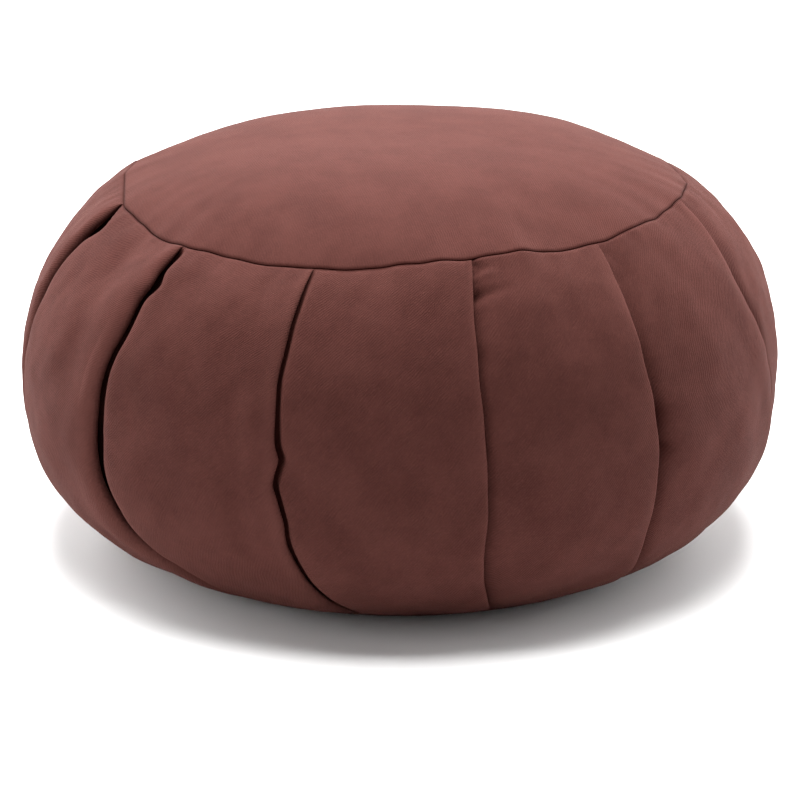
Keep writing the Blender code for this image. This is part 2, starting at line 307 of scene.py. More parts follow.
# The zones across a pleat, from under the fold behind to the turn under its own fold.
HIDDEN, PANEL, NOSE, UNDER, TURN = range(5)

# Camera. Its focal length is in pixels of a picture PICTURE_SIDE across.
PICTURE_SIDE = 800
SENSOR_WIDTH = 36.0
FOCAL_PIXELS = 3376.0
CAMERA_PLACE = (0.0, -1.549, 0.584)
CAMERA_AIM = (0.0, 0.0, 0.0614)

# Cloth colours, linear.
TWILL_RED_BROWN = (0.0610, 0.0188, 0.0151, 1.0)
TWILL_SHADOW = (0.0230, 0.0058, 0.0044, 1.0)
TWILL_FUZZ = (0.1000, 0.0360, 0.0295, 1.0)
# The colour of the painted shade in tucks and seams.
TUCK_PAINTED_SHADE = (0.0200, 0.0022, 0.0009, 1.0)
SHEEN_TINT = (1.0, 0.34, 0.27, 1.0)

# The twill's ribs, with their pitch in millimetres and their sway in pitches, and its floats, with their
# length as a share of the pitch and their shift from rib to rib as a share of that length. FLOAT_CUT is how
# much a float's ends lower a rib and FLOAT_SHADE how much they darken it. The nap and the lint stand up
# by their heights over a rib's 1.
RIB_PITCH = 1.05
RIB_SWAY = 1.8
FLOAT_LENGTH = 0.9
FLOAT_SHIFT = 0.34
FLOAT_CUT = 0.3
FLOAT_SHADE = 0.4
NAP_HEIGHT = 0.9
LINT_HEIGHT = 0.8

# Noises of the cloth, with their scale per millimetre. A range is where a noise starts to show its colour
# and where it shows it fully, and a share is the most of the colour that shows. The shadow between the
# ribs goes from the least of PATCH_SHARES to the most over the patches.
Noise = namedtuple("Noise", "scale detail roughness")
SWAY = Noise(0.12, 3.0, 0.5)
NAP = Noise(2.6, 3.0, 0.6)
LINT = Noise(0.9, 4.0, 0.62)
PATCHES = Noise(0.11, 3.0, 0.5)
MOTTLE = Noise(0.33, 2.0, 0.5)
CLOUDS = Noise(0.035, 3.0, 0.55)
LINT_RANGE = (0.50, 0.78)
PATCH_RANGE = (0.35, 0.65)
MOTTLE_RANGE = (0.55, 0.30)
PALE_CLOUD_RANGE = (0.42, 0.75)
DARK_CLOUD_RANGE = (0.55, 0.25)
LINT_SHARE = 0.70
PATCH_SHARES = (0.20, 0.60)
MOTTLE_SHARE = 0.22
CLOUD_SHARE = 0.16
# The most of the painted shade in tucks and seams that shows.
PAINTED_SHADE_SHARE = 0.9
# The most of the painted highlight along fold edges that shows.
PAINTED_HIGHLIGHT_SHARE = 0.42

# How the cloth takes the light. Its roughness is SMOOTHEST and a little more on the lint.
BUMP_HEIGHT = 0.28 * MM
BUMP_STRENGTH = 0.8
SHEEN_WEIGHT = 0.065
SHEEN_ROUGHNESS = 0.45
SPECULAR = 0.08
SMOOTHEST = 0.84
LINT_ROUGHNESS = 0.12

# The way the ribs of each piece run, in degrees, and how much of the twill's relief and contrast it has.
Twill = namedtuple("Twill", "angle relief")
SIDE_TWILL = Twill(-42, 0.6)
TOP_TWILL = Twill(15, 0.42)
BOTTOM_TWILL = Twill(40, 0.6)

# Studio: a white floor, a soft box over it, and far lights with their width in degrees.
FLOOR_REACH = 12.0
FLOOR_WHITE = (0.93, 0.93, 0.93, 1.0)
FLOOR_ROUGHNESS = 0.9
FLOOR_SPECULAR = 0.1
SOFT_BOX_PLACE = (0.0, 0.05, 1.2)
SOFT_BOX_SIDE = 0.9
SOFT_BOX_WATTS = 38
FarLight = namedtuple("FarLight", "name direction width strength")
FAR_LIGHTS = (
    FarLight("behind", (0.0, 1.6, 0.8), 50, 2.5),
    FarLight("left_behind", (-1.6, 1.4, 0.9), 50, 3.6),
    FarLight("right_behind", (1.6, 1.4, 0.9), 50, 2.8),
    FarLight("right", (2.0, 0.3, 0.35), 40, 1.5),
    FarLight("left", (-2.0, -0.5, 0.4), 50, 1.85),
    FarLight("front", (0.0, -1.2, 1.2), 60, 0.15),
)
SURROUND_LIGHT = 0.01


def side_outline(drop):
    """Radius, height and outward normal of the side, and its length from seam to seam.

    Each half obeys (r / radius) ** n + (h / half height) ** n = 1, with h counted from the widest height
    and the half height chosen so that the curve passes through the seam.
    """
    halves = []
    for seam_radius, seam_height, power in (
        (TOP_SEAM_RADIUS, TOP_SEAM_HEIGHT, UPPER_ROUNDNESS),
        (BOTTOM_SEAM_RADIUS, BOTTOM_SEAM_HEIGHT, LOWER_ROUNDNESS),
    ):
        reach = abs(seam_height - WIDEST_HEIGHT)
        half_height = reach / (1 - (seam_radius / FORM_RADIUS) ** power) ** (1 / power)
        fall = np.linspace(reach, 0, OUTLINE_STEPS)
        radius = FORM_RADIUS * (1 - (fall / half_height) ** power) ** (1 / power)
        halves.append((radius, WIDEST_HEIGHT + np.sign(seam_height - WIDEST_HEIGHT) * fall))
    radius = np.concatenate([halves[0][0], halves[1][0][-2::-1]])
    height = np.concatenate([halves[0][1], halves[1][1][-2::-1]])
    length = np.concatenate([[0], np.cumsum(np.hypot(np.diff(radius), np.diff(height)))])
    at = drop * length[-1]
    slope_r = np.interp(at, length, np.gradient(radius, length))
    slope_z = np.interp(at, length, np.gradient(height, length))
    size = np.hypot(slope_r, slope_z)
    r, z = np.interp(at, length, radius), np.interp(at, length, height)
    return r, z, -slope_z / size, slope_r / size, length[-1]


def smooth_through(x, knots, values):
    """A curve through a few knots: each stretch is a cubic with the slopes of its neighbours' chords."""
    knots = np.asarray(knots)
    slopes = np.gradient(values, knots, axis=-1)
    i = np.clip(np.searchsorted(knots, x, side="right") - 1, 0, len(knots) - 2)
    width = knots[i + 1] - knots[i]
    t = (x - knots[i]) / width
    return (
        values[..., i] * (1 + 2 * t) * (1 - t) ** 2
        + slopes[..., i] * width * t * (1 - t) ** 2
        + values[..., i + 1] * t**2 * (3 - 2 * t)
        - slopes[..., i + 1] * width * t**2 * (1 - t)
    )


def bump(x, middle, spread):
    """A bell: exp of minus the squared distance from the middle in spreads."""
    return np.exp(-(((x - middle) / spread) ** 2))


def seam_path(azimuth):
    """Height of the top seam over its mean, and its radius as a share of the full one.

    The seam is a polygon. Its height runs straight between corners, and its radius follows the chord,
    cos(half the angle between the corners) / cos(the angle from their middle), by CHORD_SHARE. Each
    corner is softened by averaging CORNER_PLACES within CORNER_SOFTNESS degrees, and the height wavers.
    """
    corners = np.array(SEAM_CORNERS)
    knots = np.append(corners[:, 0], corners[0, 0] + 360)
    spread = np.linspace(-1, 1, CORNER_PLACES) * CORNER_SOFTNESS
    at = np.degrees(azimuth)[..., None] + spread
    at = knots[0] + (at - knots[0]) % 360
    i = np.clip(np.searchsorted(knots, at, side="right") - 1, 0, len(knots) - 2)
    half = np.radians(knots[i + 1] - knots[i]) / 2
    middle = np.radians(knots[i + 1] + knots[i]) / 2
    chord = np.cos(half) / np.cos(np.radians(at) - middle)
    rise = np.interp(at, knots, np.append(corners[:, 1], corners[0, 1])) * MM
    waver = slow_hills(azimuth, 0.0, TOP_SEAM_RADIUS, SEAM_WAVER)
    return rise.mean(-1) + waver, 1 + CHORD_SHARE * (chord.mean(-1) - 1)


def slow_hills(azimuth, along, radius, waves):
    """Gentle unevenness round the side: the sum of cosine waves of random direction and length, each
    going a whole number of times round, times height * sqrt(2 / count)."""
    random = np.random.default_rng(RANDOM_SEED + waves.seed)
    total = np.zeros(np.broadcast(azimuth, along).shape)
    for _ in range(waves.count):
        length = random.uniform(waves.shortest * MM, waves.longest * MM)
        direction = random.uniform(0, np.pi)
        turns = np.round(2 * np.pi * radius / length * np.cos(direction))
        down = 2 * np.pi / length * np.sin(direction)
        total += np.cos(turns * azimuth + down * along + random.uniform(0, 2 * np.pi))
    return total * np.sqrt(2.0 / waves.count) * waves.height * MM


def slow_hills_flat(x, y, waves):
    """Gentle unevenness of a round panel: the sum of cosine waves of random direction and length, times
    height * sqrt(2 / count)."""
    random = np.random.default_rng(RANDOM_SEED + waves.seed)
    total = np.zeros(np.broadcast(x, y).shape)
    for _ in range(waves.count):
        wave = 2 * np.pi / random.uniform(waves.shortest * MM, waves.longest * MM)
        direction = random.uniform(0, np.pi)
        along = x * np.cos(direction) + y * np.sin(direction)
        total += np.cos(wave * along + random.uniform(0, 2 * np.pi))
    return total * np.sqrt(2.0 / waves.count) * waves.height * MM


def settle(points):
    """Moves the form's points to the real cushion: its top forward and right as the square of the height,
    its right shoulder higher in front and its left one behind, and everything below the widest height a
    little forward and right, by f * (2 - f) with f the share of the way down to the floor."""
    points = points.copy()
    level = np.clip(points[..., 2] / TOP_SEAM_HEIGHT, 0, None)
    below = np.clip(1 - points[..., 2] / WIDEST_HEIGHT, 0, 1)
    behind = np.clip(points[..., 1] / TOP_SEAM_RADIUS, 0, 1)
    points[..., 2] += (SHOULDER_LEAN - BACK_LEAN * behind) * level * points[..., 0] / TOP_SEAM_RADIUS
    foot = below * (2 - below)
    points[..., 0] += SEAM_SHIFT_RIGHT * level**2 + FOOT_SHIFT_RIGHT * foot
    points[..., 1] -= SEAM_SHIFT_FORWARD * level**2 + FOOT_SHIFT_FORWARD * foot
    return points


def round_points(radius, azimuth, height):
    """Points from a radius, an azimuth and a height: x = r sin(azimuth), y = -r cos(azimuth), z = height."""
    return np.stack(np.broadcast_arrays(radius * np.sin(azimuth), -radius * np.cos(azimuth), height), -1)


# What fold_lines works out, an array each.
FoldLines = namedtuple("FoldLines", "azimuth lift lip roll gape bank parting opening")


def fold_lines(drop, radius, length):
    """Everything that changes down each fold, one row a drop and one column a fold, in metres and radians.

    The azimuth runs smoothly through the five places of the table, with the kinks as bells on it, and a
    waver of a few sines. The opening goes from 0 at a seam to 1 as 1 - exp(-(distance / opens) ** power),
    and lift, lip, roll and gape are the table's sizes times it, with soft spots and mouths added as bells.
    The parting does the same over a shorter length, so next to a seam the layers part quickly.
    """
    table = np.array(FOLDS)
    column = {name: table[:, i] for i, name in enumerate(Fold._fields)}
    azimuth = np.radians(smooth_through(drop, FOLD_DROPS, table[:, :5]).T)
    from_top, from_bottom = drop[:, None] * length, (1 - drop)[:, None] * length
    from_seam = np.minimum(from_top, from_bottom)
    opening = (1 - np.exp(-((from_top / (column["opens"] * MM)) ** OPENING_POWER))) * (
        1 - np.exp(-((from_bottom / OPENING_LENGTH) ** OPENING_POWER))
    )
    parting = 1 - np.exp(-((from_seam / PARTING_LENGTH) ** PARTING_POWER))
    lift = column["lift"] * MM * opening
    lip = column["lip"] * MM * (LIP_AT_SEAM + (1 - LIP_AT_SEAM) * opening) * parting
    roll = column["roll"] * MM * (ROLL_AT_SEAM + (1 - ROLL_AT_SEAM) * opening) * parting
    gape = (column["gape"] * MM * opening + SMALLEST_GAP) * parting
    bank = column["bank"] * MM + 0 * gape
    for number, place, extra_lip, extra_roll, spread in SOFT_SPOTS:
        lip[:, number] += extra_lip * MM * bump(drop, place, spread) * parting[:, 0]
        roll[:, number] += extra_roll * MM * bump(drop, place, spread) * parting[:, 0]
        bank[:, number] += extra_roll * MM * bump(drop, place, spread)
    for number, place, extra, spread in MOUTHS:
        gape[:, number] += extra * MM * bump(drop, place, spread) * parting[:, 0]
    for number, place, shift, spread in KINKS:
        azimuth[:, number] += shift * MM * bump(drop, place, spread) / radius
    random = np.random.default_rng(RANDOM_SEED)
    for turns in WAVER_TURNS:
        phase = random.uniform(0, 2 * np.pi, len(FOLDS))
        waver = np.sin(turns * 2 * np.pi * drop[:, None] + phase) * opening / radius[:, None]
        azimuth += FOLD_WAVER / turns * waver
    return FoldLines(azimuth, lift, lip, roll, gape, bank, parting, opening)


def pleat_section(number, lines, drop, radius, length):
    """The sections across one pleat, one row a drop: azimuth, height over the form, distance from the
    panel's middle and two marks, the painted shade in a tuck and the painted highlight along the fold edge.

    A section starts under the fold behind, at the level lift - lip - gape of that fold. It comes out and
    climbs a bank, level * exp(-(s / bank) ** BANK_STEEPNESS) with s the distance from that fold, to a
    crest that dies away as exp(-(s / CREST_LENGTH) ** 2). The open panel adds a swell,
    1 - |2 s / width - 1| ** SWELL_SQUARENESS, which follows sin(pi drop) and is fullest at the belly, a
    ramp up to its own fold edge, lift * exp(-(t / FOLD_RAMP) ** 2) with t the distance from that edge, and
    the valley beside it. The nose is half an ellipse as thick as the lip, reaching back by the roll. The
    underside runs back to the tuck's depth, and half a circle leads down to the next panel.

    The painted shade is 1 inside a tuck. Outside it dies away from the fold behind as exp(-s / its reach),
    and it grows with the depth of the bank and down the nose. The painted highlight is a bell of t, as wide
    as the roll and the strip past it.
    """
    fold, behind = FOLDS[number], FOLDS[number - 1]
    start = lines.azimuth[:, [number - 1]] - (2 * np.pi if number == 0 else 0)
    width = (lines.azimuth[:, [number]] - start) * radius[:, None]
    top, thick, reach = lines.lift[:, [number]], lines.lip[:, [number]], lines.roll[:, [number]]
    level = (lines.lift - lines.lip - lines.gape)[:, [number - 1]]
    mouth, open_behind = lines.gape[:, [number - 1]], lines.opening[:, [number - 1]]
    tuck = TUCK_DEPTH * lines.parting[:, :1]

    # The open panel, from the fold behind to its own fold edge.
    after, before_edge = np.array([AFTER_FOLD]) * MM, np.array([BEFORE_EDGE]) * MM
    last = width - reach - before_edge[:, :1]
    middle = np.linspace(0, 1, MIDDLE_STEPS + 2)[None, 1:-1]
    between = after[:, -1:] + (last - after[:, -1:]) * middle
    s_panel = np.concatenate([after + 0 * width, between, width - reach - before_edge], 1)
    t_panel = width - s_panel
    rising = lines.bank[:, [number - 1]] + BANK_SHARE_OF_GAPE * mouth
    bank = 1 - np.exp(-((s_panel / rising) ** BANK_STEEPNESS))
    belly = 1 - SWELL_AT_BELLY + SWELL_AT_BELLY * np.sin(np.pi * drop**BELLY_POWER)
    puff = (np.sin(np.pi * drop) ** SWELL_ENDS * belly)[:, None]
    valley = fold.valley * MM * lines.opening[:, [number]]
    n_panel = (
        level * (1 - bank)
        + behind.crest * MM * open_behind * bank * np.exp(-((s_panel / CREST_LENGTH) ** 2))
        + fold.swell * MM * puff * (1 - np.abs(2 * s_panel / width - 1) ** SWELL_SQUARENESS)
        + top * np.exp(-(((t_panel - reach) / FOLD_RAMP) ** 2))
        - valley * bump(t_panel, fold.valley_at * MM, VALLEY_WIDTH)
    )

    # The nose, the underside and the turn down to the next panel.
    turn = np.linspace(0, np.pi, NOSE_STEPS)[None]
    t_nose = reach * (1 - np.sin(turn))
    n_nose = n_panel[:, -1:] - 0.5 * thick * (1 - np.cos(turn))
    t_under = reach + (tuck - reach) * np.linspace(0, 1, UNDER_STEPS + 1)[None, 1:]
    n_under = n_nose[:, -1:] + 0 * t_under
    bend = np.linspace(0, np.pi, TURN_STEPS + 2)[None, 1:-1]
    half_gap = 0.5 * lines.gape[:, [number]]
    t_turn = tuck + half_gap * np.sin(bend)
    n_turn = n_nose[:, -1:] - half_gap * (1 - np.cos(bend))
    hidden = np.linspace(1, 0, HIDDEN_STEPS + 1)[None, :-1]
    s_all = np.concatenate([-hidden * tuck, s_panel, width - t_nose, width - t_under, width - t_turn], 1)
    n_all = np.concatenate([level + 0 * hidden, n_panel, n_nose, n_under, n_turn], 1)
    panel_steps = s_panel.shape[1]
    steps = (HIDDEN_STEPS, panel_steps, NOSE_STEPS, UNDER_STEPS, TURN_STEPS)
    zone = np.repeat((HIDDEN, PANEL, NOSE, UNDER, TURN), steps)[None]

    # The marks: painted shade in the tuck and a painted highlight along the fold edge.
    shade_length = MOUTH_SHADE + SHADE_SHARE_OF_GAPE * mouth
    shade = np.exp(-np.clip(s_all, 0, None) / shade_length) * open_behind
    down_bank = np.clip(-level * (1 - bank) / DARK_DEPTH, 0, 1) ** BANK_DARKENING
    panel = slice(HIDDEN_STEPS, HIDDEN_STEPS + panel_steps)
    shade[:, panel] = np.maximum(shade[:, panel], down_bank)
    down_nose = np.clip((n_panel[:, -1:] - n_all) / np.maximum(thick, DARK_DEPTH), 0, 1)
    painted_shade = np.select([zone == PANEL, zone == NOSE], [shade, down_nose**NOSE_DARKENING], 1.0)
    # A painted highlight along the fold edge, fading past its roll.
    painted_highlight = np.exp(-(((width - s_all) / (reach + HIGHLIGHT_STRIP)) ** 2))
    edge = np.where(zone <= NOSE, painted_highlight, 0.0) * lines.parting[:, :1]

    for crease in (c for c in CREASES if c.panel == number):
        n_all = n_all - (zone <= PANEL) * crease_depth(crease, s_all, width, drop[:, None], length)
    return start + s_all / radius[:, None], n_all, s_all - 0.5 * width, painted_shade, edge


def side_sections():
    """The pleated strip as rows of points from the top seam to the bottom one, with its cloth coordinates
    and two marks: the painted shade in a tuck or a seam, and the painted highlight along a fold's edge.

    The pleats' sections lie side by side. Hills, ripples, gathers and the grooves of both seams,
    GROOVE_DEPTH * exp(-(distance / width) ** GROOVE_POWER), are added along the form's outward normal. The
    side takes up the top seam's rise as the square of the share of SEAM_BLEND that is left, and its radius
    as the fourth power.
    """
    even = np.linspace(0, 1, SIDE_ROWS)
    drop = EVEN_ROWS * even + (1 - EVEN_ROWS) * (1 - np.cos(np.pi * even)) / 2
    radius, height, out_r, out_z, length = side_outline(drop)
    lines = fold_lines(drop, radius, length)
    pleats = [pleat_section(number, lines, drop, radius, length) for number in range(len(FOLDS))]
    angle, offset, across, painted_shade, edge = (np.concatenate(values, 1) for values in zip(*pleats))
    down = np.broadcast_to((drop * length)[:, None], angle.shape)
    from_seam = np.minimum(down, length - down)
    free = 1 - np.exp(-from_seam / OPENING_LENGTH)
    hills = slow_hills(angle, down, FORM_RADIUS, SIDE_HILLS)
    ripples = slow_hills(angle, down, FORM_RADIUS, SIDE_RIPPLES)
    offset = offset + free * (hills + ripples)
    gathers = slow_hills(angle, down * GATHER_SLANT, FORM_RADIUS, SIDE_GATHERS)
    offset = offset + gathers * np.exp(-from_seam / GATHER_LENGTH) * lines.parting[:, :1]
    wide = 1 + SEAM_OPENS * bump(np.degrees(angle), SEAM_OPENS_AT, SEAM_OPENS_SPREAD)
    offset = offset - GROOVE_DEPTH * np.exp(-((from_seam / (GROOVE_WIDTH * wide)) ** GROOVE_POWER))
    # Painted shade in the seams, wider where the top seam opens.
    painted_shade = np.maximum(painted_shade, np.exp(-((from_seam / (SEAM_LINE * wide)) ** 2)))
    fade = np.clip(1 - drop / SEAM_BLEND, 0, 1)[:, None] ** 2
    rise, reach = seam_path(angle)
    points = settle(
        round_points(
            (radius[:, None] + out_r[:, None] * offset) * (1 + (reach - 1) * fade**2),
            angle,
            height[:, None] + out_z[:, None] * offset + fade * rise,
        )
    )
    level_out(points[..., 2])
    number = np.repeat(np.arange(len(FOLDS)), angle.shape[1] // len(FOLDS))
    cloth_u = across + number[None] * PANEL_STEP
    return points, np.stack([cloth_u, -down], -1), painted_shade, edge


def level_out(height):
    """Lifts what would come too low: under three lowest heights h, z becomes h * (1 + 2 exp(z / h - 3)),
    which meets the rest at 3 h and tends to h."""
    low = height < 3 * LOWEST_SIDE
    height[low] = LOWEST_SIDE * (1 + 2 * np.exp(height[low] / LOWEST_SIDE - 3))


def crease_depth(crease, s, width, drop, length):
    """Depth of one soft trough: depth * exp(-(away / half width) ** 2), with away the distance from a
    straight line between its two ends, fading towards the second one."""
    ends = []
    for across, place in ((crease.across, crease.drop), (crease.to_across, crease.to_drop)):
        ends.append((across * MM + (width if across < 0 else 0 * width), place * length))
    (s0, d0), (s1, d1) = ends
    run_s, run_d = s1 - s0, d1 - d0
    along = np.clip(((s - s0) * run_s + (drop * length - d0) * run_d) / (run_s**2 + run_d**2), 0, 1)
    away = np.hypot(s - s0 - along * run_s, drop * length - d0 - along * run_d)
    half_width = 0.5 * crease.width * MM
    return crease.depth * MM * np.exp(-((away / half_width) ** 2)) * (1 - CREASE_FADE * along)


def ring_faces(first, rows, columns, flip=False):
    """Quads between neighbouring rows of a closed ring of columns, numbered from first."""
    row, column = np.meshgrid(np.arange(rows - 1), np.arange(columns), indexing="ij")
    after = (column + 1) % columns
    this_row, next_row = first + row * columns, first + (row + 1) * columns
    corners = [this_row + column, next_row + column, next_row + after, this_row + after]
    quads = np.stack(corners, -1).reshape(-1, 4)
    return quads[:, ::-1] if flip else quads


def fan_faces(ring_start, columns, middle, flip=False):
    """Triangles from a ring to the point in its middle."""
    column = np.arange(columns)
    fan = np.stack([ring_start + column, np.full(columns, middle), ring_start + (column + 1) % columns], -1)
    return fan[:, ::-1] if flip else fan


def make_piece(name, points, quads, triangles, cloth, marks):
    """A mesh from arrays: its points, faces, cloth coordinates in metres as a UV map, and named marks."""
    mesh = bpy.data.meshes.new(name)
    corners = np.concatenate([quads.ravel(), triangles.ravel()])
    sizes = np.concatenate([np.full(len(quads), 4), np.full(len(triangles), 3)])
    mesh.vertices.add(len(points))
    mesh.vertices.foreach_set("co", points.astype(np.float32).ravel())
    mesh.loops.add(len(corners))
    mesh.loops.foreach_set("vertex_index", corners.astype(np.int32))
    mesh.polygons.add(len(sizes))
    mesh.polygons.foreach_set("loop_start", np.concatenate([[0], np.cumsum(sizes)[:-1]]).astype(np.int32))
    mesh.update(calc_edges=True)
    mesh.uv_layers.new(name="cloth").data.foreach_set("uv", cloth[corners].astype(np.float32).ravel())
    for mark, values in marks.items():
        attribute = mesh.attributes.new(mark, "FLOAT", "POINT")
        attribute.data.foreach_set("value", values.astype(np.float32).ravel())
    mesh.shade_smooth()
    mesh.validate()
    piece = bpy.data.objects.new(name, mesh)
    bpy.context.scene.collection.objects.link(piece)
    return piece


def close_twins(piece, distance):
    """Makes points that coincide one point, as where a pleat's layers meet in a seam."""
    work = bmesh.new()
    work.from_mesh(piece.data)
    bmesh.ops.remove_doubles(work, verts=work.verts, dist=distance)
    bmesh.ops.dissolve_degenerate(work, edges=work.edges, dist=distance)
    work.to_mesh(piece.data)
    work.free()
    piece.data.shade_smooth()


def crown_height(share):
    """Height of the dome at a share of the seam's radius: the rise times 1 - share ** CROWN_FLATNESS."""
    return TOP_SEAM_HEIGHT + CROWN_RISE * (1 - share**CROWN_FLATNESS)


def side_piece():
    """The filled side: the pleated strip, closed under each round panel by a seat of a few rings that
    run to a point in the middle, one cloth thickness and a gap below the panel. The top seat follows the
    crown and, as share ** SEAM_PULL, the seam's own ups and downs."""
    strip, cloth, painted_shade, edge = side_sections()
    rows, columns = strip.shape[:2]
    blocks, quads, fans = [strip.reshape(-1, 3)], [ring_faces(0, rows, columns)], []
    depth = CLOTH_THICKNESS + PIECE_GAP
    for row, top in ((0, True), (rows - 1, False)):
        seam = strip[row]
        sag = seam[:, 2] - TOP_SEAM_HEIGHT
        rings = [seam, seam - np.array([0, 0, depth if top else -depth])]
        for share in SEAT_RINGS:
            ring = seam * np.array([share, share, 0.0])
            under_top = crown_height(share) + share**SEAM_PULL * sag - GROOVE_DEPTH - depth
            ring[:, 2] = under_top if top else depth
            rings.append(ring)
        middle = np.array([[0, 0, crown_height(0.0) - GROOVE_DEPTH - depth if top else depth]])
        first = sum(len(block) for block in blocks)
        blocks += [np.concatenate(rings), middle]
        quads.append(ring_faces(first, len(rings), columns, top))
        last = first + (len(rings) - 1) * columns
        fans.append(fan_faces(last, columns, last + columns, top))
    points = np.concatenate(blocks)
    extra = len(points) - strip.shape[0] * strip.shape[1]
    uv = np.concatenate([cloth.reshape(-1, 2), points[-extra:, :2]])
    # The seats under the round panels are wholly in painted shade.
    marks = {
        "painted_shade": np.pad(painted_shade.ravel(), (0, extra), constant_values=1.0),
        "edge": np.pad(edge.ravel(), (0, extra)),
    }
    piece = make_piece("pleated_side", points, np.concatenate(quads), np.concatenate(fans), uv, marks)
    close_twins(piece, TWIN_DISTANCE)
    return piece


def top_panel_piece():
    """The domed round panel. Height is the crown, flat in the middle, with gentle hills that die out
    towards the seam, small gathers that die out within a centimetre of it, the rim's turn down into the
    seam, depth * exp(-(distance / RIM_TURN) ** RIM_POWER), and the seam's own corners."""
    azimuth = np.linspace(0, 2 * np.pi, ROUND_COLUMNS, endpoint=False)[None]
    step = np.linspace(0, 1, ROUND_RINGS + 1)[:-1]
    share = (1 - step**RING_CROWDING)[:, None]
    rise, reach = seam_path(azimuth)
    radius = share * (TOP_SEAM_RADIUS - RIM_GAP)
    from_seam = TOP_SEAM_RADIUS - RIM_GAP - radius
    radius = radius * (1 + (reach - 1) * share**SEAM_PULL)
    x, y = radius * np.sin(azimuth), -radius * np.cos(azimuth)
    inner = 1 - np.exp(-from_seam / TOP_HILLS_START)
    gathers = slow_hills(azimuth, from_seam * GATHER_SLANT, TOP_SEAM_RADIUS, TOP_GATHERS)
    near_seam = np.exp(-from_seam / GATHER_LENGTH) * (1 - np.exp(-from_seam / GATHER_START))
    height = (
        crown_height(share)
        + inner * (slow_hills_flat(x, y, TOP_HILLS) + slow_hills_flat(x, y, TOP_RIPPLES))
        + gathers * near_seam
        - RIM_DEPTH * np.exp(-((from_seam / RIM_TURN) ** RIM_POWER))
        + share**SEAM_PULL * rise
    )
    points = settle(round_points(radius, azimuth, height))
    middle = settle(np.array([0.0, 0.0, crown_height(0.0)]))
    count = ROUND_RINGS * ROUND_COLUMNS
    all_points = np.concatenate([points.reshape(-1, 3), middle[None]])
    quads = ring_faces(0, ROUND_RINGS, ROUND_COLUMNS, True)
    fan = fan_faces(count - ROUND_COLUMNS, ROUND_COLUMNS, count, True)
    # Painted shade in the seam along the rim.
    groove = np.exp(-((from_seam / SEAM_LINE) ** 2)) + 0 * azimuth
    marks = {"painted_shade": np.append(groove.ravel(), 0), "edge": np.zeros(len(all_points))}
    piece = make_piece("top_round_panel", all_points, quads, fan, all_points[:, :2], marks)
    return give_thickness(piece)


def bottom_panel_piece():
    """The flat round panel: level inside the resting radius, then curving up to the bottom seam as the
    square of the distance, with the seam's groove at its rim."""
    columns = ROUND_COLUMNS // 2
    azimuth = np.linspace(0, 2 * np.pi, columns, endpoint=False)[None]
    rim = BOTTOM_SEAM_RADIUS - PIECE_GAP
    curled = np.linspace(rim, RESTING_RADIUS, CURL_RINGS)
    radius = np.concatenate([curled, np.linspace(RESTING_RADIUS, INNERMOST_RING, CURL_RINGS)[1:]])
    curl = np.clip((radius - RESTING_RADIUS) / (rim - RESTING_RADIUS), 0, 1)
    groove = GROOVE_DEPTH * np.exp(-(((rim - radius) / GROOVE_WIDTH) ** GROOVE_POWER))
    height = np.maximum(BOTTOM_SEAM_HEIGHT * curl**2 + groove, 0.0)
    points = settle(round_points(radius[:, None], azimuth, height[:, None]))
    count = len(radius) * columns
    all_points = np.concatenate([points.reshape(-1, 3), np.zeros((1, 3))])
    quads = ring_faces(0, len(radius), columns)
    fan = fan_faces(count - columns, columns, count)
    marks = {"painted_shade": np.zeros(len(all_points)), "edge": np.zeros(len(all_points))}
    piece = make_piece("bottom_round_panel", all_points, quads, fan, all_points[:, :2], marks)
    return give_thickness(piece)


def give_thickness(piece):
    """Gives a sheet the cloth's thickness, inwards from its finished face."""
    wall = piece.modifiers.new("Cloth thickness", "SOLIDIFY")
    wall.thickness = CLOTH_THICKNESS
    wall.offset = -1.0
    wall.use_even_offset = True
    return piece


